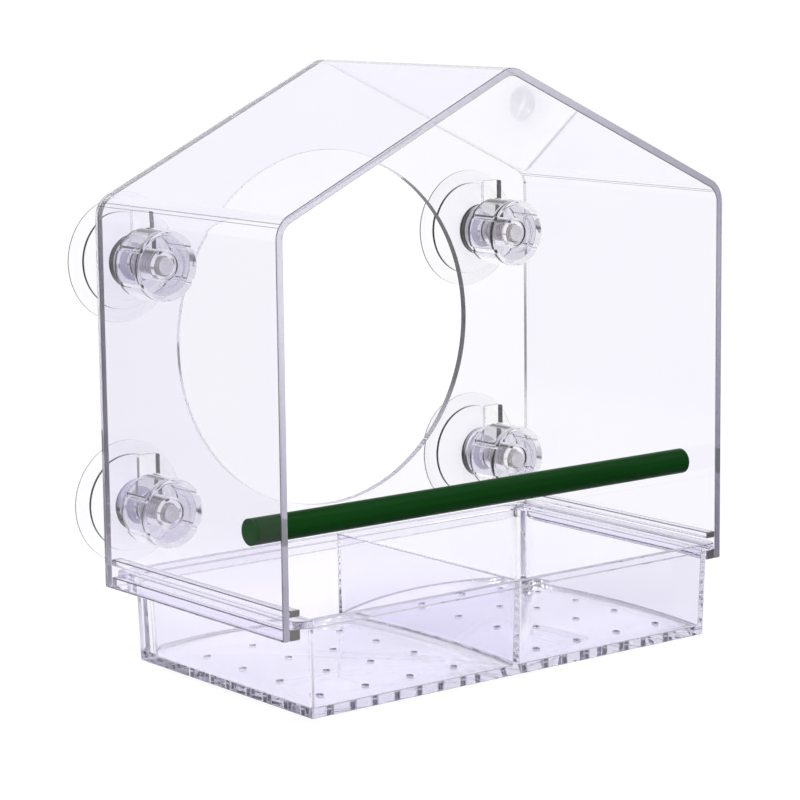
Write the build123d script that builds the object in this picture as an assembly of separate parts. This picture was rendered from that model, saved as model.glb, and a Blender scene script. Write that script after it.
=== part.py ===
# Window bird feeder: a clear acrylic house held on a window pane by four suction cups.
# Millimetres. The pane is the plane y = 0 and the house stands in front of it, towards -Y.
# x = 0 is the middle of the house, and z = 0 is the underside of the seed tray.
# Left and right are as seen from the front, so left is -X.
import os
from math import atan2, cos, radians, tan

from build123d import *

# House shell, one bent sheet, open at the front, the back and below
house_width = 220.0
house_depth = 120.0
eave_height = 152.0
ridge_rise = 52.0
sheet = 3.0
bend_radius = 10.0

# Back panel between the side walls, flush with their back edges
panel_sheet = 3.0
panel_seam = 0.1
hole_sill = 19.5
hole_roof_margin = 25.75
slot_width = 9.5
slot_reach = 21.5
slot_toe = 0.3
slot_corner = 0.8

# Rail strips cemented inside the side walls
rail_width = 4.6
upper_strip = 2.6
lower_strip = 4.2
rail_gap = 4.6

# Perch, a round rod seated in shallow sockets in the side walls
perch_diameter = 10.2
perch_height = 37.5
perch_setback = 21.1
socket_depth = 1.5
socket_fit = 0.05

# Seed tray, one moulding that hangs on the lower strips by its side flanges
tray_height = 37.5
tray_wall = 2.0
tray_floor = 3.4
tray_draft = 1.6
tray_proud = 3.2
tray_back_gap = 2.0
tray_rest = 0.25
body_side_gap = 2.4
rim_thickness = 2.9
rim_lip = 0.5
rim_side_gap = 1.0
front_corner = 1.0
back_corner = 1.5
rim_front_corner = 5.0
divider = 2.0
pocket_corner = 0.6
pocket_back_corner = 10.0
pocket_fillet = 0.5
drain_diameter = 3.0
drain_side = 14.8
drain_front = 15.4
drain_pitch_x = 21.4
drain_pitch_y = 24.3
drain_columns = 4
drain_rows = 4

# Suction cups, soft bells with a thick neck that bears on the back of the panel
cup_wall_gap = 19.0
lower_cup_height = 29.5
upper_cup_drop = 25.0
cup_standoff = 16.2
cup_diameter = 50.0
cup_seat = 3.0
cup_cavity = 4.0
cup_lip = 0.8
cup_flare = 1.3
cup_step_diameter = 39.0
cup_step = 1.2
cup_bulge = 0.9
neck_diameter = 21.0
neck_length = 7.0
neck_fillet = 2.0
neck_gap = 0.2

# Studs, threaded rods whose flat head is moulded into the neck of a cup
stud_diameter = 8.0
thread_pitch = 2.0
thread_depth = 0.6
thread_crest = 0.5
thread_root = 0.3
thread_runout = 0.3
head_diameter = 15.0
head_thickness = 2.0
head_cover = 1.0
moulded_fit = 0.05
stud_recess = 0.6

# Screw knobs, hollow mouldings with a skirt round a threaded hub
knob_diameter = 28.0
knob_length = 16.0
knob_wall = 2.0
knob_face = 3.0
knob_edge = 0.8
hub_diameter = 12.2
thread_fit = 0.05
groove_diameter = 2.6
groove_depth = 1.1
groove_count = 6
groove_start = 90.0
recess_diameter = 16.4
recess_depth = 1.0
mouth_depth = 1.6
knob_gap = 0.2

# How far a cutter runs past the face that it opens
overrun = 1.0

# Places that follow from the sizes above
roof_angle = atan2(ridge_rise, house_width / 2)
inner_half = house_width / 2 - sheet
inner_ridge = eave_height + ridge_rise - sheet / cos(roof_angle)
hole_room = (inner_ridge - hole_sill) * cos(roof_angle) - hole_roof_margin
hole_radius = hole_room / (1 + cos(roof_angle))
hole_height = hole_sill + hole_radius
panel_front = cup_standoff + panel_sheet
house_front = cup_standoff + house_depth
rim_top_height = lower_strip + tray_rest + rim_thickness
foot_z = tray_height - rim_top_height
perch_y = -(house_front - perch_setback)
perch_z = foot_z + perch_height
cup_x = inner_half - cup_wall_gap
upper_cup_height = eave_height - upper_cup_drop
stud_radius = stud_diameter / 2
slot_bottom = stud_radius + slot_toe
knob_front = panel_front + knob_gap + knob_length
cup_places = {
    "upper_left": (-cup_x, foot_z + upper_cup_height),
    "upper_right": (cup_x, foot_z + upper_cup_height),
    "lower_left": (-cup_x, foot_z + lower_cup_height),
    "lower_right": (cup_x, foot_z + lower_cup_height),
}


def at_pane(distance):
    """A plane parallel to the pane, so far in front of it, facing the front of the house."""
    return Plane.XZ.offset(distance)


def rod_along_x(x_start, y, z, radius, length):
    """A round bar or bore that runs towards +X."""
    start = Plane(origin=(x_start, y, z), z_dir=(1, 0, 0))
    return start * Cylinder(radius, length, align=(Align.CENTER, Align.CENTER, Align.MIN))


def disc(radius, bottom, height):
    """A cylinder on the Z axis that starts at a given height."""
    return Pos(0, 0, bottom) * Cylinder(radius, height, align=(Align.CENTER, Align.CENTER, Align.MIN))


def house_profile(inset, corner, below):
    """The house's front outline, drawn in by an inset and with rounded eaves and ridge."""
    half = house_width / 2 - inset
    slant = inset / cos(roof_angle)
    foot = foot_z - below
    eave = foot_z + eave_height + inset * tan(roof_angle) - slant
    ridge = foot_z + eave_height + ridge_rise - slant
    points = [(-half, foot), (-half, eave), (0, ridge), (half, eave), (half, foot)]
    outline = make_face(Polyline(*points, close=True))
    bends = [corner_point for corner_point in outline.vertices() if corner_point.Y > foot_z]
    return fillet(bends, corner)


def make_shell():
    """Side walls and roof, bent from one sheet, with a socket for each end of the perch."""
    outer = extrude(at_pane(cup_standoff) * house_profile(0, bend_radius, 0), house_depth)
    hollow_profile = house_profile(sheet, bend_radius - sheet, overrun)
    hollow = extrude(at_pane(cup_standoff - overrun) * hollow_profile, house_depth + 2 * overrun)
    socket_half = inner_half + socket_depth
    sockets = rod_along_x(
        -socket_half, perch_y, perch_z, perch_diameter / 2 + socket_fit, 2 * socket_half
    )
    return outer - hollow - sockets


def make_back_panel():
    """The flat panel behind, with the round view hole and one slot for each stud."""
    inset = sheet + panel_seam
    panel = extrude(at_pane(cup_standoff) * house_profile(inset, bend_radius - inset, 0), panel_sheet)
    cut_plane = at_pane(cup_standoff - overrun)
    cut_depth = panel_sheet + 2 * overrun
    hole = Pos(0, foot_z + hole_height) * Circle(hole_radius)
    panel -= extrude(cut_plane * hole, cut_depth)
    slot_length = slot_reach + slot_bottom
    for x, z in cup_places.values():
        middle = z + (slot_reach - slot_bottom) / 2
        slot = Pos(x, middle) * RectangleRounded(slot_width, slot_length, slot_corner)
        panel -= extrude(cut_plane * slot, cut_depth)
    return panel


def make_rail(side, bottom, thickness):
    """One strip inside a side wall, from the front edge back to the panel."""
    centre_x = side * (inner_half - rail_width / 2)
    length = house_front - panel_front
    place = Pos(centre_x, -panel_front, foot_z + bottom)
    return place * Box(rail_width, length, thickness, align=(Align.CENTER, Align.MAX, Align.MIN))


def make_perch():
    """The round rod that the birds stand on."""
    half = inner_half + socket_depth
    return rod_along_x(-half, perch_y, perch_z, perch_diameter / 2, 2 * half)


def rounded_plan(left, right, front, back, corners):
    """A rectangle seen from above, with its own radius at each corner, from front left round."""
    points = [(left, front), (right, front), (right, back), (left, back)]
    plan = make_face(Polyline(*points, close=True))
    for point, radius in zip(points, corners):
        nearest = plan.vertices().sort_by_distance(Vector(*point, 0))[0]
        plan = fillet(nearest, radius)
    return plan


def tray_inset(z):
    """How far the draft has drawn the tray's sides in at a height above its underside."""
    return (tray_height - z) * tan(radians(tray_draft))


def tray_body_plan(z):
    """The tray's outside below the rim, at a height."""
    inset = tray_inset(z)
    half = inner_half - rail_width - body_side_gap - inset
    front = -(house_front + tray_proud - rim_lip) + inset
    back = -(panel_front + tray_back_gap + rim_lip) - inset
    return rounded_plan(
        -half, half, front, back, [front_corner, front_corner, back_corner, back_corner]
    )


def tray_pocket_plan(z):
    """The right-hand seed compartment at a height."""
    inset = tray_inset(z)
    right = inner_half - rail_width - body_side_gap - tray_wall - inset
    left = divider / 2 + inset / 2
    front = -(house_front + tray_proud - rim_lip) + tray_wall + inset
    back = -(panel_front + tray_back_gap + rim_lip) - tray_wall - inset
    corners = [pocket_corner, pocket_corner, pocket_back_corner, pocket_corner]
    return rounded_plan(left, right, front, back, corners)


def tray_pocket():
    """The space inside the right-hand compartment, rounded where the walls meet the floor."""
    top = tray_height + overrun
    levels = [Pos(0, 0, z) * tray_pocket_plan(z) for z in (tray_floor, top)]
    pocket = loft(levels, ruled=True)
    floor_edges = pocket.faces().sort_by(Axis.Z)[0].edges()
    return fillet(floor_edges, pocket_fillet)


def drain_holes():
    """The grid of holes under the right-hand compartment."""
    outer_column = inner_half - rail_width - body_side_gap - drain_side
    front_row = -(house_front + tray_proud - rim_lip) + drain_front
    holes = []
    for column in range(drain_columns):
        for row in range(drain_rows):
            x = outer_column - column * drain_pitch_x
            y = front_row + row * drain_pitch_y
            hole = disc(drain_diameter / 2, -overrun, tray_floor + 2 * overrun)
            holes.append(Pos(x, y) * hole)
    return holes


def make_tray():
    """The sliding seed tray with its rim, side flanges, divider and drain holes."""
    body = loft([Pos(0, 0, z) * tray_body_plan(z) for z in (0, tray_height)], ruled=True)
    rim_half = inner_half - rim_side_gap
    rim_front = -(house_front + tray_proud)
    rim_back = -(panel_front + tray_back_gap)
    rim_corners = [rim_front_corner, rim_front_corner, back_corner, back_corner]
    rim_plan = rounded_plan(-rim_half, rim_half, rim_front, rim_back, rim_corners)
    tray = body + extrude(Pos(0, 0, tray_height - rim_thickness) * rim_plan, rim_thickness)
    pocket = tray_pocket()
    tray -= [pocket, mirror(pocket, about=Plane.YZ)]
    holes = drain_holes()
    tray -= holes + [mirror(hole, about=Plane.YZ) for hole in holes]
    return tray


def make_cup():
    """A suction cup with its axis on Y and its mouth on the pane, before it is put in place."""
    radius = cup_diameter / 2
    seat_radius = radius - cup_seat
    step_radius = cup_step_diameter / 2
    neck_radius = neck_diameter / 2
    shoulder = cup_lip + cup_flare + cup_step
    neck_end = cup_standoff - neck_gap
    neck_start = neck_end - neck_length
    cavity_radius = (seat_radius**2 + cup_cavity**2) / (2 * cup_cavity)
    bell_start = Vector(step_radius, -shoulder)
    bell_end = Vector(neck_radius, -neck_start)
    bell_side = (bell_end - bell_start).rotate(Axis.Z, 90).normalized()
    bell_middle = (bell_start + bell_end) / 2 - bell_side * cup_bulge
    cavity = RadiusArc((0, -cup_cavity), (seat_radius, 0), -cavity_radius)
    rim = Polyline(
        (seat_radius, 0),
        (radius, 0),
        (radius, -cup_lip),
        (step_radius, -(cup_lip + cup_flare)),
        (step_radius, -shoulder),
    )
    bell = ThreePointArc(bell_start, bell_middle, bell_end)
    neck = Polyline(
        (neck_radius, -neck_start), (neck_radius, -neck_end), (0, -neck_end), (0, -cup_cavity)
    )
    profile = make_face(Curve() + [cavity, rim, bell, neck])
    waist = profile.vertices().sort_by_distance(Vector(neck_radius, -neck_start))[0]
    profile = fillet(waist, neck_fillet)
    cup = revolve(profile, Axis.Y)
    head_room = disc(head_diameter / 2 + moulded_fit, head_cover, head_thickness + moulded_fit)
    bore = disc(stud_radius + moulded_fit, head_cover, neck_length + overrun)
    return cup - at_pane(neck_start) * (head_room + bore)


def make_thread(turns):
    """The raised helical ridge of a stud, from just inside its root out to its crest."""
    root = stud_radius - thread_depth
    sunk = root - thread_depth / 4
    crest_half = thread_crest / 2
    foot_half = (thread_pitch - thread_root) / 2
    outline = [
        (sunk, -foot_half),
        (root, -foot_half),
        (stud_radius, -crest_half),
        (stud_radius, crest_half),
        (root, foot_half),
        (sunk, foot_half),
    ]
    faces = []
    for turn in range(turns):
        turn_base = turn * thread_pitch
        lines = [
            Pos(0, 0, turn_base + rise) * Helix(thread_pitch, thread_pitch, radius)
            for radius, rise in outline
        ]
        for low, high in zip(lines, lines[1:] + lines[:1]):
            faces.append(Face.make_surface_from_curves(low.edge(), high.edge()))
    for end_rise in (0, turns * thread_pitch):
        corners = [(radius, 0, end_rise + rise) for radius, rise in outline]
        faces.append(make_face(Polyline(*corners, close=True)).face())
    return Solid(Shell(faces))


def make_stud():
    """A threaded rod standing on its flat head, with its axis on Z."""
    neck_start = cup_standoff - neck_gap - neck_length
    length = knob_front - stud_recess - neck_start - head_cover
    shank_length = panel_front - neck_start - head_cover
    thread_margin = (thread_pitch - thread_root) / 2 + thread_runout
    turns = int((length - shank_length - 2 * thread_margin) // thread_pitch)
    thread_base = length - thread_margin - turns * thread_pitch
    core = disc(stud_radius - thread_depth, 0, length)
    shank = disc(stud_radius, 0, shank_length)
    head = disc(head_diameter / 2, 0, head_thickness)
    return core + shank + head + Pos(0, 0, thread_base) * make_thread(turns)


def make_knob():
    """A hollow screw knob with its axis on Z and its open end at z = 0."""
    radius = knob_diameter / 2
    knob = disc(radius, 0, knob_length)
    knob = fillet(knob.edges().filter_by(GeomType.CIRCLE).sort_by(Axis.Z)[-1], knob_edge)
    room_height = knob_length - knob_face
    room = disc(radius - knob_wall, -overrun, room_height + overrun)
    knob -= room - disc(hub_diameter / 2, -overrun, room_height + overrun)
    bore_radius = stud_radius + thread_fit
    knob -= disc(bore_radius, -overrun, knob_length + 2 * overrun)
    knob -= disc(recess_diameter / 2, knob_length - recess_depth, recess_depth + overrun)
    mouth_radius = hub_diameter / 2
    mouth_base = knob_length - recess_depth - mouth_depth
    mouth = Cone(bore_radius, mouth_radius, mouth_depth, align=(Align.CENTER, Align.CENTER, Align.MIN))
    knob -= Pos(0, 0, mouth_base) * mouth
    groove_radius = groove_diameter / 2
    groove = disc(groove_radius, -overrun, knob_length + 2 * overrun)
    groove_reach = radius + groove_radius - groove_depth
    knob -= PolarLocations(groove_reach, groove_count, groove_start) * groove
    return knob


def write_node(name, shape):
    """Label a piece and write it to its own file."""
    shape.label = name
    export_step(shape, f"parts/{name}.step")


os.makedirs("parts", exist_ok=True)
write_node("shell", make_shell())
write_node("back_panel", make_back_panel())
for side_name, side in (("left", -1), ("right", 1)):
    write_node(f"{side_name}_lower_rail", make_rail(side, 0, lower_strip))
    write_node(f"{side_name}_upper_rail", make_rail(side, lower_strip + rail_gap, upper_strip))
write_node("perch", make_perch())
write_node("tray", make_tray())

cup, stud, knob = make_cup(), make_stud(), make_knob()
for place_name, (x, z) in cup_places.items():
    spot = Pos(x, 0, z)
    write_node(f"suction_cup_{place_name}", spot * cup)
    head_seat = cup_standoff - neck_gap - neck_length + head_cover
    write_node(f"stud_{place_name}", spot * (at_pane(head_seat) * stud))
    write_node(f"knob_{place_name}", spot * (at_pane(panel_front + knob_gap) * knob))
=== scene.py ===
import math

import bmesh
import bpy
from mathutils import Matrix, Vector


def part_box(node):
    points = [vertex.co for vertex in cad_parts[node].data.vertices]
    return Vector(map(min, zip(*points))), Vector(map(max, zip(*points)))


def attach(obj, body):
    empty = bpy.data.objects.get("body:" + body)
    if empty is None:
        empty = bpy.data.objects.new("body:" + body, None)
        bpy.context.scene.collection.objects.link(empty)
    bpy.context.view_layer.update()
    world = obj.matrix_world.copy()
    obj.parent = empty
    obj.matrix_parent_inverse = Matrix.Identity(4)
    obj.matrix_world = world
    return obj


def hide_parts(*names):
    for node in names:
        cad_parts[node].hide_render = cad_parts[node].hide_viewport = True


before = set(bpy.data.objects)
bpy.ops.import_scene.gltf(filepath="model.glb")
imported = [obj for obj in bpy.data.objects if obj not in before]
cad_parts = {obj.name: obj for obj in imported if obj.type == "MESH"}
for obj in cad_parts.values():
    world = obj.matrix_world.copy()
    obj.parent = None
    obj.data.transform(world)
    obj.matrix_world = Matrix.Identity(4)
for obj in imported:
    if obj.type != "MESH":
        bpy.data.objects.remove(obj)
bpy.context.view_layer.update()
scene = bpy.context.scene


# House shell: both side walls and both roof slopes in one 3 mm sheet of clear acrylic,
# sawn to size and bent over a hot wire at the eaves and the ridge. It is open at the
# front, at the back and below, and its sawn edges are rounded over with a flame.
def add(tree, kind, inputs=None, **settings):
    """A new node; each input is given as a value or as the socket that feeds it."""
    node = tree.nodes.new(kind)
    for key, value in settings.items():
        setattr(node, key, value)
    for key, value in (inputs or {}).items():
        if isinstance(value, bpy.types.NodeSocket):
            tree.links.new(value, node.inputs[key])
        else:
            node.inputs[key].default_value = value
    return node


def maths(tree, operation, first, second=0.0):
    """The result of one sum on two numbers or sockets."""
    return add(tree, "ShaderNodeMath", {0: first, 1: second}, operation=operation).outputs[0]


def ramp(tree, value, low, high, to_low, to_high):
    """A number that runs from one level to another while the value goes from low to high."""
    inputs = {"Value": value, "From Min": low, "From Max": high, "To Min": to_low, "To Max": to_high}
    return add(tree, "ShaderNodeMapRange", inputs).outputs["Result"]


def colours(tree, share, first, second, blend="MIX"):
    """Two colours, or sockets that give them, mixed by a share."""
    mixed = {"Factor_Float": share, "A_Color": first, "B_Color": second}
    node = add(tree, "ShaderNodeMix", data_type="RGBA", blend_type=blend)
    for socket in node.inputs:
        value = mixed.get(socket.identifier)
        if isinstance(value, bpy.types.NodeSocket):
            tree.links.new(value, socket)
        elif value is not None:
            socket.default_value = value if socket.identifier == "Factor_Float" else (*value, 1)
    return next(socket for socket in node.outputs if socket.identifier == "Result_Color")


def between(tree, value, low, high):
    """1 where a value lies between two limits, and 0 elsewhere."""
    over = maths(tree, "GREATER_THAN", value, low)
    return maths(tree, "MULTIPLY", over, maths(tree, "LESS_THAN", value, high))


def coordinate(tree, kind):
    """A coordinate of the spot that is shaded, such as its place on the piece or its normal."""
    return add(tree, "ShaderNodeTexCoord").outputs[kind]


def along(tree, vector):
    """A vector's parts along X, Y and Z."""
    return add(tree, "ShaderNodeSeparateXYZ", {"Vector": vector}).outputs


GRAIN = 0.55


def speckle(tree, place, scale, detail=2.0, stretch=(1, 1, 1)):
    """Noise over the piece, finer along the axes that are stretched."""
    turned = add(tree, "ShaderNodeMapping", {"Vector": place, "Scale": stretch}).outputs["Vector"]
    inputs = {"Vector": turned, "Scale": scale, "Detail": detail, "Roughness": GRAIN}
    return add(tree, "ShaderNodeTexNoise", inputs).outputs["Fac"]


def patches(tree, place, scale, span, level=1.0, detail=2.0, stretch=(1, 1, 1)):
    """Soft patches over the piece: 0 below a span of the noise, and a given level above it."""
    return ramp(tree, speckle(tree, place, scale, detail, stretch), *span, 0.0, level)


def relief(tree, height, depth, under=None):
    """Surface relief of a given depth in metres, over other relief."""
    inputs = {"Height": height, "Distance": depth, "Strength": 1.0}
    if under is not None:
        inputs["Normal"] = under
    return add(tree, "ShaderNodeBump", inputs).outputs["Normal"]


GLARE = (0.2, 0.2, 0.2)
CLOUD_SCALE, CLOUD_SPAN = 11.0, (0.35, 0.65)
HALF_BOUNCE = 0.5


def clear_plastic(name, tint, shade, absorbed, density, ior, shadow, mirrored=True):
    """Solid clear plastic, up to its surface relief: material, tree, shader and object place.

    It lets shadow rays straight through in one colour. A piece that isn't mirrored is also
    left out of what the clear pieces round it reflect.
    """
    material = bpy.data.materials.new(name)
    material.use_nodes = True
    tree = material.node_tree
    tree.nodes.clear()
    place = coordinate(tree, "Object")
    clouds = patches(tree, place, CLOUD_SCALE, CLOUD_SPAN)
    shader = add(
        tree,
        "ShaderNodeBsdfPrincipled",
        {
            "Base Color": colours(tree, clouds, tint, shade),
            "Transmission Weight": 1.0,
            "IOR": ior,
            "Specular Tint": (*GLARE, 1),
        },
    )
    through = add(tree, "ShaderNodeBsdfTransparent", {"Color": (*shadow, 1)})
    path = add(tree, "ShaderNodeLightPath").outputs
    straight = path["Is Shadow Ray"]
    if not mirrored:
        in_mirror = maths(tree, "GREATER_THAN", path["Glossy Depth"], HALF_BOUNCE)
        straight = maths(tree, "MAXIMUM", straight, in_mirror)
        tree.links.new(colours(tree, in_mirror, shadow, (1, 1, 1)), through.inputs["Color"])
    surface = add(
        tree,
        "ShaderNodeMixShader",
        {0: straight, 1: shader.outputs["BSDF"], 2: through.outputs["BSDF"]},
    )
    absorb = add(tree, "ShaderNodeVolumeAbsorption", {"Color": (*absorbed, 1), "Density": density})
    output = add(tree, "ShaderNodeOutputMaterial")
    tree.links.new(surface.outputs["Shader"], output.inputs["Surface"])
    tree.links.new(absorb.outputs["Volume"], output.inputs["Volume"])
    return material, tree, shader, place


def shade_over(tree, shader, share, shade, blend="MIX"):
    """Lays a shade over the plastic's colour, by a share from 0 to 1."""
    clear = shader.inputs["Base Color"].links[0].from_socket
    tree.links.new(colours(tree, share, clear, shade, blend), shader.inputs["Base Color"])


WALL_TINT, WALL_SHADE = (0.945, 0.932, 0.995), (0.932, 0.918, 0.985)
SHEET_ABSORBED, SHEET_DENSITY = (0.245, 0.19, 0.55), 2.0
ACRYLIC_IOR = 1.49
SHEET_SHADOW = (0.955, 0.95, 0.97)
FACE_ON = 0.5
SAWN_FROM, SAWN_TO = 0.05, 0.15
# Painted shade on the cut edges: darker to the right, and darker where they are rounded.
RIGHT_FROM, RIGHT_TO, RIGHT_PAINTED_SHADE = -0.05, 0.11, (0.6, 0.59, 0.63)
ROUND_SLOPE, ROUND_PAINTED_SHADE = (0.15, 0.85), (0.3, 0.29, 0.32)
# Painted shade on the back cuts, dark below the eave and lighter above it, and a painted dark line
# along the crease of the faces.
BACK_PAINTED_SHADE, ROOF_PAINTED_SHADE, BACK_FROM, BACK_TO = (0.12, 0.115, 0.1), (0.45, 0.44, 0.52), 0.183, 0.2
BACK_HAZE = 0.75
CREASE, CREASE_HALF, CREASE_PAINTED_SHADE = 0.1806, 0.00015, (0.25, 0.24, 0.25)
WAVE_SCALE, WAVE_DEPTH = 16.0, 0.000005
HAIR_SCALE, HAIR_STRETCH, HAIR_SPAN, HAIR_DEPTH = 14.0, (3, 25, 60), (0.70, 0.73), 0.0000003
SAW_SCALE, SAW_STRETCH, SAW_SHARE, SAW_DEPTH = 480.0, (1, 0.25, 1), 0.5, 0.000005
NICK_SCALE, NICK_SPAN = 95.0, (0.62, 0.72)
SMUDGE_SCALE, SMUDGE_SPAN, SMUDGE_ROUGH, SAWN_ROUGH = 24.0, (0.62, 0.8), 0.012, 0.03


def sheet_acrylic(name, tint, shade, sawn_across, painted_shade_low, painted_shade_high, haze):
    """Clear sheet, wavy and hairlined on its polished faces and dull on its cut edges.

    Sheet that is sawn across has its cuts at the front and back, with painted shade that is darker
    at the back, lighter above the eave, and a painted dark line along the crease of its faces. All
    cuts carry painted shade from a foot colour to a top colour, darker to the right, and a darker
    painted shade where they are rounded.
    """
    material, tree, shader, place = clear_plastic(
        name,
        tint,
        shade,
        SHEET_ABSORBED,
        SHEET_DENSITY,
        ACRYLIC_IOR,
        SHEET_SHADOW,
        mirrored=sawn_across,
    )
    facing = along(tree, coordinate(tree, "Normal"))["Y"]
    spot = along(tree, place)
    across = maths(tree, "ABSOLUTE", facing)
    sawn = maths(tree, "GREATER_THAN" if sawn_across else "LESS_THAN", across, FACE_ON)
    polished = maths(tree, "SUBTRACT", 1.0, sawn)
    rise = ramp(tree, spot["Z"], SAWN_FROM, SAWN_TO, 0.0, 1.0)
    to_right = ramp(tree, spot["X"], RIGHT_FROM, RIGHT_TO, 0.0, 1.0)
    # Painted shade on the cut edges, from the foot colour to the top colour and darker to the right.
    cut = colours(tree, rise, painted_shade_low, painted_shade_high)
    cut = colours(tree, 1.0, cut, colours(tree, to_right, (1, 1, 1), RIGHT_PAINTED_SHADE), "MULTIPLY")
    shade_over(tree, shader, 1.0, colours(tree, sawn, (1, 1, 1), cut), "MULTIPLY")
    # Darker painted shade where the edges are rounded.
    shade_over(tree, shader, between(tree, across, *ROUND_SLOPE), ROUND_PAINTED_SHADE)
    if sawn_across:
        at_front = maths(tree, "LESS_THAN", facing, -FACE_ON)
        at_back = maths(tree, "GREATER_THAN", facing, FACE_ON)
        over_eave = ramp(tree, spot["Z"], BACK_FROM, BACK_TO, 0.0, 1.0)
        # Painted shade on the back cuts, lighter above the eave.
        shade_over(tree, shader, at_back, colours(tree, over_eave, BACK_PAINTED_SHADE, ROOF_PAINTED_SHADE))
        # A painted dark line along the crease, on the polished faces.
        off_crease = maths(tree, "ABSOLUTE", maths(tree, "SUBTRACT", spot["Z"], CREASE))
        crease = maths(tree, "LESS_THAN", off_crease, CREASE_HALF)
        shade_over(tree, shader, maths(tree, "MULTIPLY", crease, polished), CREASE_PAINTED_SHADE)
        hazed = maths(tree, "MULTIPLY", at_front, haze)
        hazed = maths(tree, "ADD", hazed, maths(tree, "MULTIPLY", at_back, BACK_HAZE))
    else:
        hazed = maths(tree, "MULTIPLY", sawn, haze)
    clearness = maths(tree, "SUBTRACT", 1.0, hazed)
    tree.links.new(clearness, shader.inputs["Transmission Weight"])
    waves = maths(tree, "MULTIPLY", speckle(tree, place, WAVE_SCALE, 1.0), polished)
    wavy = relief(tree, waves, WAVE_DEPTH)
    hairs = patches(tree, place, HAIR_SCALE, HAIR_SPAN, detail=1.0, stretch=HAIR_STRETCH)
    scratched = relief(tree, maths(tree, "MULTIPLY", hairs, polished), HAIR_DEPTH, wavy)
    saw = speckle(tree, place, SAW_SCALE, 3.0, SAW_STRETCH)
    nicks = patches(tree, place, NICK_SCALE, NICK_SPAN, detail=0.0)
    marks = maths(tree, "ADD", maths(tree, "MULTIPLY", saw, SAW_SHARE), nicks)
    marked = relief(tree, maths(tree, "MULTIPLY", marks, sawn), SAW_DEPTH, scratched)
    tree.links.new(marked, shader.inputs["Normal"])
    smudges = patches(tree, place, SMUDGE_SCALE, SMUDGE_SPAN, SMUDGE_ROUGH)
    frosted = maths(tree, "MULTIPLY", sawn, SAWN_ROUGH)
    rough = maths(tree, "ADD", maths(tree, "MULTIPLY", smudges, polished), frosted)
    tree.links.new(rough, shader.inputs["Roughness"])
    return material


HOLD_SHARE, HOLD_MOST = 0.1, 0.0004


def rounded_line(corners, radii, steps, closed=False):
    """Points along a line, its corners rounded, with a close pair where an arc meets a flat."""
    corners = [Vector(corner) for corner in corners]
    points = []
    for index, corner in enumerate(corners):
        radius = radii[index]
        ends = not closed and index in (0, len(corners) - 1)
        if ends or radius <= 0:
            points.append(corner)
            continue
        back = (corners[index - 1] - corner).normalized()
        ahead = (corners[(index + 1) % len(corners)] - corner).normalized()
        half = back.angle(ahead) / 2
        reach = radius / math.tan(half)
        centre = corner + (back + ahead).normalized() * radius / math.sin(half)
        first, last = corner + back * reach, corner + ahead * reach
        hold = min(HOLD_SHARE * radius, HOLD_MOST)
        points.append(first + back * hold)
        sweep = math.pi - 2 * half
        for step in range(steps + 1):
            share = step / steps
            near, far = math.sin((1 - share) * sweep), math.sin(share * sweep)
            way = ((first - centre) * near + (last - centre) * far) / math.sin(sweep)
            points.append(centre + way)
        points.append(last + ahead * hold)
    return points


def join(shape, ring, following):
    """Faces between two closed rings of points, one of which may be a single point."""
    count = max(len(ring), len(following))
    for index in range(count):
        after = (index + 1) % count
        corners = [ring[index % len(ring)], ring[after % len(ring)]]
        corners += [following[after % len(following)], following[index % len(following)]]
        shape.faces.new(list(dict.fromkeys(corners)))


def rings_of(shape, loops):
    """Rings of new points, each joined to the one before."""
    rings = [[shape.verts.new(point) for point in loop] for loop in loops]
    for ring, following in zip(rings, rings[1:]):
        join(shape, ring, following)
    return rings


def fill_between(shape, rings):
    """A flat face inside the first ring and outside the others."""
    edges = []
    for ring in rings:
        for start, end in zip(ring, ring[1:] + ring[:1]):
            edges.append(shape.edges.get((start, end)) or shape.edges.new((start, end)))
    bmesh.ops.triangle_fill(shape, use_beauty=True, edges=edges)


def mesh_of(shape, name):
    """The finished shape as a mesh with its faces outwards."""
    bmesh.ops.recalc_face_normals(shape, faces=shape.faces)
    mesh = bpy.data.meshes.new(name)
    shape.to_mesh(mesh)
    shape.free()
    return mesh


MERGE_REACH, SMOOTH_ANGLE = 0.0000005, math.radians(26)


def settle(mesh, material):
    """Merges doubles, shades the curved faces smooth and gives the mesh its material."""
    shape = bmesh.new()
    shape.from_mesh(mesh)
    bmesh.ops.remove_doubles(shape, verts=shape.verts, dist=MERGE_REACH)
    bmesh.ops.recalc_face_normals(shape, faces=shape.faces)
    shape.to_mesh(mesh)
    shape.free()
    mesh.shade_smooth()
    mesh.set_sharp_from_angle(angle=SMOOTH_ANGLE)
    mesh.materials.clear()
    mesh.materials.append(material)


def finish_piece(name, mesh, body, node):
    """Puts a finished mesh into the scene in place of a CAD node."""
    piece = bpy.data.objects.new(name, mesh)
    scene.collection.objects.link(piece)
    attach(piece, body)
    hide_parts(node)


def result_of(blank):
    """The plain mesh that an object's modifiers make."""
    bpy.context.view_layer.update()
    seen = blank.evaluated_get(bpy.context.evaluated_depsgraph_get())
    return bpy.data.meshes.new_from_object(seen)


def turned_bar(profile, segments, axis):
    """A mesh turned from a line of (radius, distance), closed at both ends or into a ring."""
    shape = bmesh.new()
    loops = []
    for radius, distance in profile:
        if radius < MERGE_REACH:
            loops.append([(0, 0, distance)])
            continue
        ring = []
        for index in range(segments):
            angle = 2 * math.pi * index / segments
            ring.append((radius * math.cos(angle), radius * math.sin(angle), distance))
        loops.append(ring)
    rings = rings_of(shape, loops)
    if len(rings[0]) > 1:
        join(shape, rings[-1], rings[0])
    toward = Vector((0, 0, 1)).rotation_difference(axis).to_matrix()
    bmesh.ops.rotate(shape, verts=shape.verts, cent=(0, 0, 0), matrix=toward)
    return mesh_of(shape, "turned")


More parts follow.
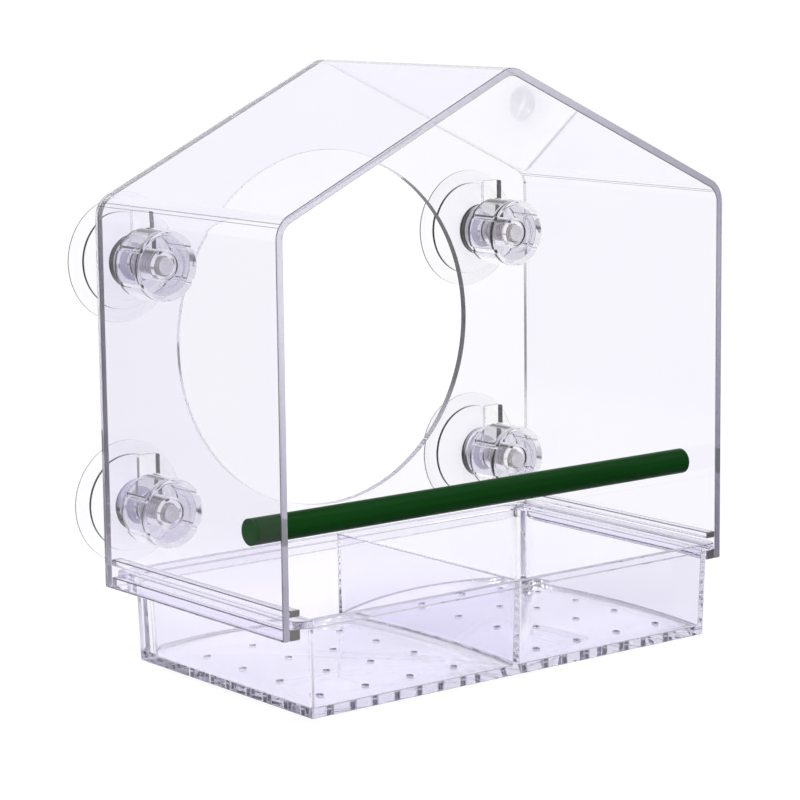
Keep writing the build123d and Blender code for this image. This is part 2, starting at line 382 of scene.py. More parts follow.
HOUSE_WIDTH, EAVE_HEIGHT, RIDGE_RISE = 0.220, 0.152, 0.052
SHEET = 0.003
BEND_RADIUS, BEND_STEPS = 0.010, 14
EDGE_BREAK = 0.0003
EDGE_ROUND, EDGE_STEPS = 0.0005, 4
# The shell's cut edges get painted shade towards the foot and none higher up.
FOOT_PAINTED_SHADE, UNSHADED_CUT, CUT_HAZE = (0.6, 0.59, 0.64), (1, 1, 1), 0.45
roof_angle = math.atan2(RIDGE_RISE, HOUSE_WIDTH / 2)
shell_low, shell_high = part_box("shell")
foot = shell_low.z


def house_outline(inset):
    """The house's front outline drawn in by an inset, from the left foot over the ridge."""
    half = HOUSE_WIDTH / 2 - inset
    slant = inset / math.cos(roof_angle)
    eave = foot + EAVE_HEIGHT + inset * math.tan(roof_angle) - slant
    ridge = foot + EAVE_HEIGHT + RIDGE_RISE - slant
    return [(-half, foot), (-half, eave), (0, ridge), (half, eave), (half, foot)]


def bent_sheet():
    """The shell's mesh: a section with rounded edges, carried along the bends."""
    lift = Vector((0, EDGE_BREAK))
    lines = []
    for inset in (0, SHEET):
        radii = [0] + [BEND_RADIUS - inset] * 3 + [0]
        line = rounded_line(house_outline(inset), radii, BEND_STEPS)
        lines.append([line[0], line[0] + lift, *line[1:-1], line[-1] + lift, line[-1]])
    loops = []
    for index, (outside, inside) in enumerate(zip(*lines)):
        drawn_in = EDGE_BREAK if index in (0, len(lines[0]) - 1) else 0
        front, back = shell_low.y + drawn_in, shell_high.y - drawn_in
        low, high = drawn_in, SHEET - drawn_in
        section = [(low, front), (high, front), (high, back), (low, back)]
        section = rounded_line(section, [EDGE_ROUND] * 4, EDGE_STEPS, closed=True)
        loop = []
        for across, y in section:
            point = inside.lerp(outside, across / SHEET)
            loop.append((point.x, y, point.y))
        loops.append(loop)
    shape = bmesh.new()
    rings = rings_of(shape, loops)
    shape.faces.new(rings[0])
    shape.faces.new(rings[-1])
    return mesh_of(shape, "bent_sheet")


shell_mesh = bent_sheet()
shell_acrylic = sheet_acrylic(
    "shell_acrylic", WALL_TINT, WALL_SHADE, True, FOOT_PAINTED_SHADE, UNSHADED_CUT, CUT_HAZE
)
settle(shell_mesh, shell_acrylic)
finish_piece("house_shell", shell_mesh, "house", "shell")


# Back panel: a flat 3 mm acrylic plate cemented between the side walls at the back,
# with a large round view hole and four slots for the studs. Its edges are laser-cut.
HOLE_RADIUS, HOLE_HEIGHT, HOLE_STEPS = 0.072504, 0.092004, 288
SLOT_WIDTH, SLOT_REACH, SLOT_TOE = 0.0095, 0.0215, 0.0003
SLOT_CORNER, SLOT_STEPS = 0.0008, 6
STUD_RADIUS = 0.004
PANEL_INSET, PANEL_BREAK = 0.0031, 0.00008
# The laser-cut edges get an even painted shade.
LASER_PAINTED_SHADE, LASER_HAZE = (0.6, 0.59, 0.61), 0.35
PANEL_TINT, PANEL_SHADE = (0.97, 0.963, 0.993), (0.96, 0.952, 0.985)
SHARPEST_CORNER = 0.3
CUP_X, UPPER_CUP, LOWER_CUP = 0.088, 0.127, 0.0295
cup_places = {
    "upper_left": (-CUP_X, foot + UPPER_CUP),
    "upper_right": (CUP_X, foot + UPPER_CUP),
    "lower_left": (-CUP_X, foot + LOWER_CUP),
    "lower_right": (CUP_X, foot + LOWER_CUP),
}


def drawn_into_material(loop, distance):
    """A closed loop moved towards its left side, where the material is."""
    moved = []
    for before, point, after in zip(loop[-1:] + loop[:-1], loop, loop[1:] + loop[:1]):
        ahead, behind = (after - point).normalized(), (point - before).normalized()
        left_ahead, left_behind = Vector((-ahead.y, ahead.x)), Vector((-behind.y, behind.x))
        left = (left_ahead + left_behind).normalized()
        moved.append(point + left * distance / max(SHARPEST_CORNER, left.dot(left_ahead)))
    return moved


def plate(loops, front, back, edge_break):
    """A flat plate facing the front, from loops that have the material on their left."""
    shape = bmesh.new()
    fronts, backs = [], []
    for loop in loops:
        tight = drawn_into_material(loop, edge_break)
        stages = [(tight, front), (loop, front + edge_break)]
        stages += [(loop, back - edge_break), (tight, back)]
        rings = rings_of(shape, [[(p.x, y, p.y) for p in points] for points, y in stages])
        fronts.append(rings[0])
        backs.append(rings[-1])
    fill_between(shape, fronts)
    fill_between(shape, backs)
    return mesh_of(shape, "plate")


def round_hole(x, z, radius, count):
    """A circle that runs clockwise."""
    angles = [-2 * math.pi * index / count for index in range(count)]
    return [Vector((x + radius * math.cos(a), z + radius * math.sin(a))) for a in angles]


panel_low, panel_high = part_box("back_panel")
panel_radii = [0] + [BEND_RADIUS - PANEL_INSET] * 3 + [0]
panel_outline = rounded_line(house_outline(PANEL_INSET), panel_radii, BEND_STEPS, closed=True)
panel_outline.reverse()
panel_loops = [panel_outline, round_hole(0, foot + HOLE_HEIGHT, HOLE_RADIUS, HOLE_STEPS)]
for x, z in cup_places.values():
    left, right = x - SLOT_WIDTH / 2, x + SLOT_WIDTH / 2
    bottom, top = z - STUD_RADIUS - SLOT_TOE, z + SLOT_REACH
    slot_corners = [(left, bottom), (left, top), (right, top), (right, bottom)]
    slot = rounded_line(slot_corners, [SLOT_CORNER] * 4, SLOT_STEPS, closed=True)
    panel_loops.append(slot)
panel_mesh = plate(panel_loops, panel_low.y, panel_high.y, PANEL_BREAK)
panel_acrylic = sheet_acrylic(
    "panel_acrylic", PANEL_TINT, PANEL_SHADE, False, LASER_PAINTED_SHADE, LASER_PAINTED_SHADE, LASER_HAZE
)
settle(panel_mesh, panel_acrylic)
finish_piece("view_panel", panel_mesh, "house", "back_panel")


# Rail strips: two narrow acrylic strips cemented inside each side wall, one above the
# other, with their long corners broken. The tray's side flanges run in the gap between them.
CEMENT = 0.00005
CEMENT_SHARE = 1 - CEMENT / (HOUSE_WIDTH / 2 - SHEET)
RAIL_TINT, RAIL_SHADE = (0.965, 0.955, 0.99), (0.95, 0.94, 0.98)
# The strips' sawn ends get a dark painted shade.
SAWN_END_PAINTED_SHADE, END_CLOUD = (0.26, 0.25, 0.23), 0.75
# The broken long corners get a near-black painted shade.
RAIL_CORNER, CORNER_SLANT, CORNER_PAINTED_SHADE = 0.00035, 0.2, (0.1, 0.095, 0.1)
rail_acrylic = sheet_acrylic(
    "rail_acrylic", RAIL_TINT, RAIL_SHADE, True, SAWN_END_PAINTED_SHADE, SAWN_END_PAINTED_SHADE, END_CLOUD
)
tree = rail_acrylic.node_tree
# Painted shade on the strips' broken long corners.
facing = along(tree, coordinate(tree, "Normal"))
slant = maths(tree, "ABSOLUTE", maths(tree, "MULTIPLY", facing["X"], facing["Z"]))
on_corner = maths(tree, "GREATER_THAN", slant, CORNER_SLANT)
shade_over(tree, tree.nodes["Principled BSDF"], on_corner, CORNER_PAINTED_SHADE)
for side in ("left", "right"):
    for level in ("upper", "lower"):
        rail = f"{side}_{level}_rail"
        low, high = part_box(rail)
        corners = [(low.x + RAIL_CORNER, low.z), (high.x - RAIL_CORNER, low.z)]
        corners += [(high.x, low.z + RAIL_CORNER), (high.x, high.z - RAIL_CORNER)]
        corners += [(high.x - RAIL_CORNER, high.z), (low.x + RAIL_CORNER, high.z)]
        corners += [(low.x, high.z - RAIL_CORNER), (low.x, low.z + RAIL_CORNER)]
        outline = [Vector((x * CEMENT_SHARE, z)) for x, z in corners]
        strip = plate([outline], low.y, high.y - CEMENT, EDGE_BREAK)
        settle(strip, rail_acrylic)
        finish_piece(f"{side}_{level}_strip", strip, "house", rail)


# Perch: a 10 mm rod of dark green cast acrylic, cut to length with its ends lightly
# broken. Its ends are cemented 1.5 mm deep into the side walls, with no gap round them.
PERCH_CHAMFER, PERCH_SEGMENTS = 0.0001, 96
PERCH_GREEN, PERCH_DEEP = (0.0052, 0.050, 0.0075), (0.0035, 0.036, 0.0052)
PERCH_SAWN, PERCH_SPECULAR = (0.016, 0.1, 0.024), 0.03
PERCH_ROUGH, END_ROUGH, STREAK_ROUGH, ROD_END = 0.3, 0.2, 0.06, 0.7
STREAK_SCALE, STREAK_STRETCH = 12.0, (0.6, 30, 30)
FLECK_SCALE, FLECK_STRETCH, FLECK_SPAN, FLECK_LEAST = 1300.0, (0.02, 1, 1), (0.38, 0.6), 0.2
DRAWN_SCALE, DRAWN_STRETCH = 30.0, (0.6, 40, 40)
DRAWN_DEPTH, FLECK_DEPTH = 0.000004, 0.00006
perch_acrylic = bpy.data.materials.new("perch_acrylic")
perch_acrylic.use_nodes = True
tree = perch_acrylic.node_tree
shader = tree.nodes["Principled BSDF"]
shader.inputs["Specular IOR Level"].default_value = PERCH_SPECULAR
place = coordinate(tree, "Object")
facing = along(tree, coordinate(tree, "Normal"))["X"]
on_end = maths(tree, "GREATER_THAN", maths(tree, "ABSOLUTE", facing), ROD_END)
streaks = patches(tree, place, STREAK_SCALE, CLOUD_SPAN, stretch=STREAK_STRETCH)
flecks = speckle(tree, place, FLECK_SCALE, 3.0, FLECK_STRETCH)
flecks = ramp(tree, flecks, *FLECK_SPAN, FLECK_LEAST, 1.0)
flecks = maths(tree, "MULTIPLY", flecks, on_end)
green = colours(tree, streaks, PERCH_GREEN, PERCH_DEEP)
tree.links.new(colours(tree, flecks, green, PERCH_SAWN), shader.inputs["Base Color"])
drawn = relief(tree, speckle(tree, place, DRAWN_SCALE, stretch=DRAWN_STRETCH), DRAWN_DEPTH)
tree.links.new(relief(tree, flecks, FLECK_DEPTH, drawn), shader.inputs["Normal"])
perch_rough = maths(tree, "ADD", maths(tree, "MULTIPLY", on_end, END_ROUGH), PERCH_ROUGH)
perch_rough = maths(tree, "ADD", perch_rough, maths(tree, "MULTIPLY", streaks, STREAK_ROUGH))
tree.links.new(perch_rough, shader.inputs["Roughness"])
perch_low, perch_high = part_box("perch")
perch_centre = (perch_low + perch_high) / 2
perch_radius = (perch_high.z - perch_low.z) / 2
perch_half = (perch_high.x - perch_low.x) / 2
end_radius, side_half = perch_radius - PERCH_CHAMFER, perch_half - PERCH_CHAMFER
perch_line = [(0, -perch_half), (end_radius, -perch_half), (perch_radius, -side_half)]
perch_line += [(perch_radius, side_half), (end_radius, perch_half), (0, perch_half)]
rod = turned_bar(perch_line, PERCH_SEGMENTS, Vector((1, 0, 0)))
rod.transform(Matrix.Translation(perch_centre))
settle(rod, perch_acrylic)
finish_piece("perch_rod", rod, "house", "perch")


# Seed tray: one clear moulding with drafted walls, a divider, side flanges that hang in
# the rails, and a grid of drain holes in each compartment's floor.
TRAY_HEIGHT, TRAY_WALL, TRAY_FLOOR = 0.0375, 0.002, 0.0034
TRAY_SLOPE = math.tan(math.radians(1.6))
BODY_HALF, RIM_LIP, RIM_THICKNESS = 0.100, 0.0005, 0.0029
FRONT_CORNER, BACK_CORNER, RIM_FRONT_CORNER = 0.001, 0.0015, 0.005
DIVIDER, POCKET_CORNER, POCKET_BACK_CORNER, POCKET_FILLET = 0.002, 0.0006, 0.010, 0.0008
MOULD_EDGE, RIM_ROOT = 0.0004, 0.0004
CORNER_STEPS, FILLET_STEPS = 8, 4
DRAIN_RADIUS = 0.0015
DRAIN_X, DRAIN_Y = (0.0852, 0.0214), (-0.1235, 0.0243)
DRAIN_COLUMNS, DRAIN_ROWS = 4, 4
TRAY_TINT, TRAY_SHADE = (0.93, 0.92, 0.97), (0.915, 0.905, 0.96)
TRAY_ABSORBED, TRAY_DENSITY = (0.23, 0.18, 0.5), 2.4
TRAY_SHADOW = (0.9, 0.89, 0.93)
# Painted shade on the slanted faces of the chamfers and fillets.
EDGE_SLOPE, TRAY_EDGE_PAINTED_SHADE = (0.3, 0.95), (0.45, 0.44, 0.48)
# Painted shade on the walls of the drain holes.
DRAIN_SLOPE, DRAIN_PAINTED_SHADE = 0.015, (0.3, 0.29, 0.33)
FLOW_SCALE, FLOW_STRETCH, FLOW_DEPTH = 22.0, (1, 1, 2.5), 0.000004
PEEL_SCALE, PEEL_DEPTH = 380.0, 0.0000005
SPECK_SCALE, SPECK_SPAN, SPECK_DEPTH = 520.0, (0.74, 0.78), 0.000004
WEAR_SCALE, WEAR_SPAN, WEAR_ROUGH = 30.0, (0.6, 0.8), 0.01
tray_low, tray_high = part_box("tray")


def plan(left, right, front, back, radii, z):
    """A rectangle with rounded corners at one height, from front left round."""
    corners = [(left, front), (right, front), (right, back), (left, back)]
    return [(p.x, p.y, z) for p in rounded_line(corners, radii, CORNER_STEPS, closed=True)]


def body_loop(z, tight):
    """The tray's outside below its rim at one height."""
    inset = (TRAY_HEIGHT - z) * TRAY_SLOPE + tight
    half = BODY_HALF - inset
    front, back = tray_low.y + RIM_LIP + inset, tray_high.y - RIM_LIP - inset
    radii = [FRONT_CORNER] * 2 + [BACK_CORNER] * 2
    return plan(-half, half, front, back, radii, z)


def rim_loop(z, tight):
    """The rim's outline at one height."""
    half, front, back = tray_high.x - tight, tray_low.y + tight, tray_high.y - tight
    radii = [RIM_FRONT_CORNER] * 2 + [BACK_CORNER] * 2
    return plan(-half, half, front, back, radii, z)


def pocket_loop(side, z, tight):
    """One seed compartment's inside at one height."""
    inset = (TRAY_HEIGHT - z) * TRAY_SLOPE
    outer = BODY_HALF - TRAY_WALL - inset - tight
    inner = DIVIDER / 2 + inset / 2 + tight
    front = tray_low.y + RIM_LIP + TRAY_WALL + inset + tight
    back = tray_high.y - RIM_LIP - TRAY_WALL - inset - tight
    if side < 0:
        radii = [POCKET_CORNER] * 3 + [POCKET_BACK_CORNER]
        return plan(-outer, -inner, front, back, radii, z)
    radii = [POCKET_CORNER] * 2 + [POCKET_BACK_CORNER, POCKET_CORNER]
    return plan(inner, outer, front, back, radii, z)


def moulded_tray():
    """The tray's mesh before its drain holes: outside, rim and both compartments."""
    shape = bmesh.new()
    rim_foot = TRAY_HEIGHT - RIM_THICKNESS
    loops = [body_loop(0, MOULD_EDGE), body_loop(MOULD_EDGE, 0)]
    loops += [body_loop(rim_foot - RIM_ROOT, 0), body_loop(rim_foot, -RIM_ROOT / 2)]
    loops += [rim_loop(rim_foot, MOULD_EDGE), rim_loop(rim_foot + MOULD_EDGE, 0)]
    loops += [rim_loop(TRAY_HEIGHT - MOULD_EDGE, 0), rim_loop(TRAY_HEIGHT, MOULD_EDGE)]
    outside = rings_of(shape, loops)
    tops = [outside[-1]]
    for side in (1, -1):
        loops = [pocket_loop(side, TRAY_HEIGHT, -MOULD_EDGE)]
        loops.append(pocket_loop(side, TRAY_HEIGHT - MOULD_EDGE, 0))
        for step in range(FILLET_STEPS + 1):
            angle = math.radians(90) * step / FILLET_STEPS
            height = TRAY_FLOOR + POCKET_FILLET * (1 - math.sin(angle))
            loops.append(pocket_loop(side, height, POCKET_FILLET * (1 - math.cos(angle))))
        inside = rings_of(shape, loops)
        tops.append(inside[0])
        fill_between(shape, [inside[-1]])
    fill_between(shape, tops)
    fill_between(shape, [outside[0]])
    return mesh_of(shape, "moulded_tray")


BAR_SIDES, BAR_REACH = 40, 3
BAR_INPUTS = [
    ("Bar Radius", "NodeSocketFloat"),
    ("Bar Length", "NodeSocketFloat"),
    ("Finish", "NodeSocketMaterial"),
]


def new_rule(name, inputs):
    """A Geometry Nodes tree that takes a blank and named sizes, with its two end nodes."""
    rule = bpy.data.node_groups.new(name, "GeometryNodeTree")
    rule.interface.new_socket(name="Blank", in_out="INPUT", socket_type="NodeSocketGeometry")
    for label, kind in inputs + BAR_INPUTS:
        rule.interface.new_socket(name=label, in_out="INPUT", socket_type=kind)
    rule.interface.new_socket(name="Piece", in_out="OUTPUT", socket_type="NodeSocketGeometry")
    return rule, add(rule, "NodeGroupInput").outputs, add(rule, "NodeGroupOutput").inputs


def punch(rule, given, points, piece):
    """Takes one round bar at each point out of the blank, then sets the material."""
    bar_inputs = {"Vertices": BAR_SIDES, "Radius": given["Bar Radius"], "Depth": given["Bar Length"]}
    bar = add(rule, "GeometryNodeMeshCylinder", bar_inputs).outputs["Mesh"]
    bars = add(rule, "GeometryNodeInstanceOnPoints", {"Points": points, "Instance": bar})
    solid = add(rule, "GeometryNodeRealizeInstances", {"Geometry": bars.outputs["Instances"]})
    cut = add(
        rule,
        "GeometryNodeMeshBoolean",
        {"Mesh 1": given["Blank"], "Mesh 2": solid.outputs["Geometry"]},
        operation="DIFFERENCE",
        solver="EXACT",
    )
    whole = add(rule, "GeometryNodeRealizeInstances", {"Geometry": cut.outputs["Mesh"]})
    finish_inputs = {"Geometry": whole.outputs["Geometry"], "Material": given["Finish"]}
    finish = add(rule, "GeometryNodeSetMaterial", finish_inputs)
    rule.links.new(finish.outputs["Geometry"], piece)


def made_by(rule, blank_mesh, values):
    """The plain mesh that a Geometry Nodes tree makes from a blank."""
    blank = bpy.data.objects.new("blank", blank_mesh)
    scene.collection.objects.link(blank)
    modifier = blank.modifiers.new("rule", "NODES")
    modifier.node_group = rule
    for item in rule.interface.items_tree:
        if item.item_type == "SOCKET" and item.in_out == "INPUT" and item.name in values:
            modifier[item.identifier] = values[item.name]
    mesh = result_of(blank)
    blank.modifiers.remove(modifier)
    bpy.data.objects.remove(blank)
    return mesh


grid_inputs = [("Columns", "NodeSocketInt"), ("Rows", "NodeSocketInt")]
grid_inputs += [("Width", "NodeSocketFloat"), ("Depth", "NodeSocketFloat")]
grid_inputs += [("Right Middle", "NodeSocketVector"), ("Left Middle", "NodeSocketVector")]
drain_rule, given, piece = new_rule("drain_hole_grid", grid_inputs)
grid = add(
    drain_rule,
    "GeometryNodeMeshGrid",
    {
        "Size X": given["Width"],
        "Size Y": given["Depth"],
        "Vertices X": given["Columns"],
        "Vertices Y": given["Rows"],
    },
)
grids = add(drain_rule, "GeometryNodeJoinGeometry")
for middle in ("Right Middle", "Left Middle"):
    moved = {"Geometry": grid.outputs["Mesh"], "Translation": given[middle]}
    placed = add(drain_rule, "GeometryNodeTransform", moved)
    drain_rule.links.new(placed.outputs["Geometry"], grids.inputs["Geometry"])
punch(drain_rule, given, grids.outputs["Geometry"], piece["Piece"])

tray_plastic, tree, shader, place = clear_plastic(
    "tray_plastic",
    TRAY_TINT,
    TRAY_SHADE,
    TRAY_ABSORBED,
    TRAY_DENSITY,
    ACRYLIC_IOR,
    TRAY_SHADOW,
)
flow = relief(tree, speckle(tree, place, FLOW_SCALE, 1.0, FLOW_STRETCH), FLOW_DEPTH)
peel = relief(tree, speckle(tree, place, PEEL_SCALE), PEEL_DEPTH, flow)
specks = patches(tree, place, SPECK_SCALE, SPECK_SPAN, detail=0.0)
tree.links.new(relief(tree, specks, SPECK_DEPTH, peel), shader.inputs["Normal"])
# Painted shade on the slanted faces of the chamfers and fillets.
slope = maths(tree, "ABSOLUTE", along(tree, coordinate(tree, "Normal"))["Z"])
shade_over(tree, shader, between(tree, slope, *EDGE_SLOPE), TRAY_EDGE_PAINTED_SHADE)
# Painted shade on the drain holes' walls in the floor.
steep = maths(tree, "LESS_THAN", slope, DRAIN_SLOPE)
in_floor = maths(tree, "LESS_THAN", along(tree, place)["Z"], TRAY_FLOOR)
shade_over(tree, shader, maths(tree, "MULTIPLY", steep, in_floor), DRAIN_PAINTED_SHADE)
worn = patches(tree, place, WEAR_SCALE, WEAR_SPAN, WEAR_ROUGH)
tree.links.new(worn, shader.inputs["Roughness"])

drain_width, drain_depth = (DRAIN_COLUMNS - 1) * DRAIN_X[1], (DRAIN_ROWS - 1) * DRAIN_Y[1]
drain_middle_x, drain_middle_y = DRAIN_X[0] - drain_width / 2, DRAIN_Y[0] + drain_depth / 2
tray_mesh = made_by(
    drain_rule,
    moulded_tray(),
    {
        "Columns": DRAIN_COLUMNS,
        "Rows": DRAIN_ROWS,
        "Width": drain_width,
        "Depth": drain_depth,
        "Right Middle": (drain_middle_x, drain_middle_y, TRAY_FLOOR / 2),
        "Left Middle": (-drain_middle_x, drain_middle_y, TRAY_FLOOR / 2),
        "Bar Radius": DRAIN_RADIUS,
        "Bar Length": BAR_REACH * TRAY_FLOOR,
        "Finish": tray_plastic,
    },
)
settle(tray_mesh, tray_plastic)
finish_piece("seed_tray", tray_mesh, "tray", "tray")


# Suction cups: soft clear vinyl bells with a flat sealing ring, a stepped rim and a thick
# neck that bears on the back of the panel. They are moulded round the head of the stud.
CUP_RADIUS, CUP_SEAT, CUP_CAVITY, CUP_LIP = 0.025, 0.003, 0.004, 0.0008
STEP_RADIUS, CUP_FLARE, CUP_STEP, CUP_BULGE = 0.0195, 0.0013, 0.0012, 0.0009
NECK_RADIUS, NECK_START, NECK_END = 0.0105, 0.009, 0.016
HEAD_ROOM_RADIUS, HEAD_ROOM = 0.00755, (0.010, 0.01205)
BORE_RADIUS = 0.00405
LIP_ROUNDS, LIP_STEPS = (0, 0.0002, 0.0003, 0.0003, 0.0002, 0.0002, 0), 5
NECK_ROUNDS, NECK_STEPS = (0, 0.002, 0.0005, 0.0003, 0.0001, 0.0002, 0.0002, 0), 6
CUP_SEGMENTS, CAVITY_STEPS, BELL_STEPS, BELL_TRIM = 128, 16, 16, 3
CUP_TINT, CUP_SHADE = (0.98, 0.98, 0.99), (0.965, 0.965, 0.98)
CUP_ABSORBED, CUP_DENSITY, VINYL_IOR = (0.3, 0.28, 0.5), 12.0, 1.5
CUP_SHADOW = (0.93, 0.93, 0.95)
# A near-black painted shade on the rim's step and outer edge, where the vinyl is also made less
# clear so that it shows.
RING_PAINTED_SHADE, EDGE_BAND, STEP_DARK, RIM_DARK = (0.04, 0.038, 0.048), 0.0008, 1.0, 0.45
PAINTED_RING_COVER, SIDE_SLANT = 0.95, 0.75
SOFT_SCALE, SOFT_DEPTH = 75.0, 0.000006
SKIN_SCALE, SKIN_DEPTH = 900.0, 0.0000005
BLOOM_SCALE, BLOOM_SPAN, BLOOM_ROUGH = 60.0, (0.4, 0.75), 0.02


def arc_points(start, middle, end, steps):
    """Points on the circle through three points."""
    a, b, c = Vector(start), Vector(middle), Vector(end)
    d = 2 * (a.x * (b.y - c.y) + b.x * (c.y - a.y) + c.x * (a.y - b.y))
    sa, sb, sc = a.length_squared, b.length_squared, c.length_squared
    centre_x = (sa * (b.y - c.y) + sb * (c.y - a.y) + sc * (a.y - b.y)) / d
    centre_y = (sa * (c.x - b.x) + sb * (a.x - c.x) + sc * (b.x - a.x)) / d
    centre = Vector((centre_x, centre_y))
    first, last = a - centre, c - centre
    sweep = first.angle(last)
    points = []
    for step in range(steps + 1):
        share = step / steps
        near, far = math.sin((1 - share) * sweep), math.sin(share * sweep)
        points.append(centre + (first * near + last * far) / math.sin(sweep))
    return points


cavity_radius = ((CUP_RADIUS - CUP_SEAT) ** 2 + CUP_CAVITY**2) / (2 * CUP_CAVITY)
cavity = []
for step in range(CAVITY_STEPS):
    radius = (CUP_RADIUS - CUP_SEAT) * step / CAVITY_STEPS
    sag = cavity_radius - math.sqrt(cavity_radius**2 - radius**2)
    cavity.append(Vector((radius, CUP_CAVITY - sag)))
shoulder = CUP_LIP + CUP_FLARE + CUP_STEP
bell_line = Vector((NECK_RADIUS - STEP_RADIUS, NECK_START - shoulder))
waist_way = Vector((-bell_line.y, bell_line.x)).normalized()
bell_middle = Vector((STEP_RADIUS, shoulder)) + bell_line / 2 + waist_way * CUP_BULGE
bell = arc_points((STEP_RADIUS, shoulder), bell_middle, (NECK_RADIUS, NECK_START), BELL_STEPS)
lip = rounded_line(
    [
        cavity[-1],
        (CUP_RADIUS - CUP_SEAT, 0),
        (CUP_RADIUS, 0),
        (CUP_RADIUS, CUP_LIP),
        (STEP_RADIUS, CUP_LIP + CUP_FLARE),
        (STEP_RADIUS, shoulder),
        bell[BELL_TRIM],
    ],
    LIP_ROUNDS,
    LIP_STEPS,
)
neck = rounded_line(
    [
        bell[-BELL_TRIM - 1],
        (NECK_RADIUS, NECK_START),
        (NECK_RADIUS, NECK_END),
        (BORE_RADIUS, NECK_END),
        (BORE_RADIUS, HEAD_ROOM[1]),
        (HEAD_ROOM_RADIUS, HEAD_ROOM[1]),
        (HEAD_ROOM_RADIUS, HEAD_ROOM[0]),
        (0, HEAD_ROOM[0]),
    ],
    NECK_ROUNDS,
    NECK_STEPS,
)
cup_line = cavity + lip[1:-1] + bell[BELL_TRIM:-BELL_TRIM] + neck[1:]
cup_blank = turned_bar([tuple(point) for point in cup_line], CUP_SEGMENTS, Vector((0, -1, 0)))
cup_vinyl, tree, shader, place = clear_plastic(
    "cup_vinyl",
    CUP_TINT,
    CUP_SHADE,
    CUP_ABSORBED,
    CUP_DENSITY,
    VINYL_IOR,
    CUP_SHADOW,
    mirrored=False,
)
soft = relief(tree, speckle(tree, place, SOFT_SCALE, 1.0), SOFT_DEPTH)
skin = relief(tree, speckle(tree, place, SKIN_SCALE), SKIN_DEPTH, soft)
tree.links.new(skin, shader.inputs["Normal"])
bloom = patches(tree, place, BLOOM_SCALE, BLOOM_SPAN, BLOOM_ROUGH)
tree.links.new(bloom, shader.inputs["Roughness"])
settle(cup_blank, cup_vinyl)
# Painted shade: the faces of the step and of the outer rim are marked, and there the vinyl is
# coloured near-black and made less clear.
painted_ring_shade = cup_blank.attributes.new("painted_ring_shade", "FLOAT", "FACE")
for face in cup_blank.polygons:
    reach = Vector((face.center.x, face.center.z)).length
    on_side = abs(face.normal.y) < SIDE_SLANT
    on_step = on_side and abs(reach - STEP_RADIUS) < EDGE_BAND
    on_rim = on_side and reach > CUP_RADIUS - EDGE_BAND
    painted_ring_shade.data[face.index].value = STEP_DARK if on_step else RIM_DARK if on_rim else 0
painted_ring = add(tree, "ShaderNodeAttribute", attribute_name="painted_ring_shade").outputs["Fac"]
shade_over(tree, shader, painted_ring, RING_PAINTED_SHADE)
clear_off_painted_ring = maths(tree, "SUBTRACT", 1.0, maths(tree, "MULTIPLY", painted_ring, PAINTED_RING_COVER))
tree.links.new(clear_off_painted_ring, shader.inputs["Transmission Weight"])
for corner, (x, z) in cup_places.items():
    cup_mesh = cup_blank.copy()
    cup_mesh.transform(Matrix.Translation((x, 0, z)))
    finish_piece(f"cup_{corner}", cup_mesh, f"cup_{corner}", f"suction_cup_{corner}")


# Studs: 8 mm clear plastic screws with a flat head held in the cup's neck and a rolled
# thread in front of the panel. Their shapes are the CAD model's own. Each has a material
# of its own, because the turning marks on its end are rings about its own middle.
HARD_TINT, HARD_SHADE = (0.87, 0.86, 0.9), (0.83, 0.82, 0.87)
# Painted shade on the thread in front of the panel.
THREAD_PAINTED_SHADE, THREAD_HAZE = (0.5, 0.475, 0.46), 0.35
HARD_ABSORBED, HARD_DENSITY, HARD_IOR = (0.3, 0.28, 0.42), 3.0, 1.52
HARD_SHADOW = (0.93, 0.93, 0.95)
SUNK_SCALE, SUNK_DEPTH = 120.0, 0.000008
FINE_SCALE, FINE_DEPTH = 1100.0, 0.0000004
HANDLED_SCALE, HANDLED_SPAN, HANDLED_ROUGH = 90.0, (0.4, 0.75), 0.012
END_ROUGHNESS, THREAD_ROUGHNESS = 0.42, 0.16
END_HAZE, RING_PITCH, RING_DEPTH = 0.55, 0.0013, 0.00004
END_FACING, THREAD_FRONT = -0.9, -0.0192


def hardware_plastic(name, end_roughness, side_roughness):
    """Clear moulded plastic, slightly sunk and handled, with a duller end and thread.

    Gives also the marks of its end and of what lies in front of the panel.
    """
    material, tree, shader, place = clear_plastic(
        name,
        HARD_TINT,
        HARD_SHADE,
        HARD_ABSORBED,
        HARD_DENSITY,
        HARD_IOR,
        HARD_SHADOW,
        mirrored=False,
    )
    sunk = relief(tree, speckle(tree, place, SUNK_SCALE, 1.0), SUNK_DEPTH)
    skin = relief(tree, speckle(tree, place, FINE_SCALE), FINE_DEPTH, sunk)
    tree.links.new(skin, shader.inputs["Normal"])
    handled = patches(tree, place, HANDLED_SCALE, HANDLED_SPAN, HANDLED_ROUGH)
    on_end = maths(tree, "LESS_THAN", along(tree, coordinate(tree, "Normal"))["Y"], END_FACING)
    in_front = maths(tree, "LESS_THAN", along(tree, place)["Y"], THREAD_FRONT)
    dull = maths(tree, "MULTIPLY", in_front, side_roughness)
    dull = maths(tree, "ADD", dull, maths(tree, "MULTIPLY", on_end, end_roughness - side_roughness))
    tree.links.new(maths(tree, "ADD", handled, dull), shader.inputs["Roughness"])
    return material, tree, shader, place, on_end, in_front


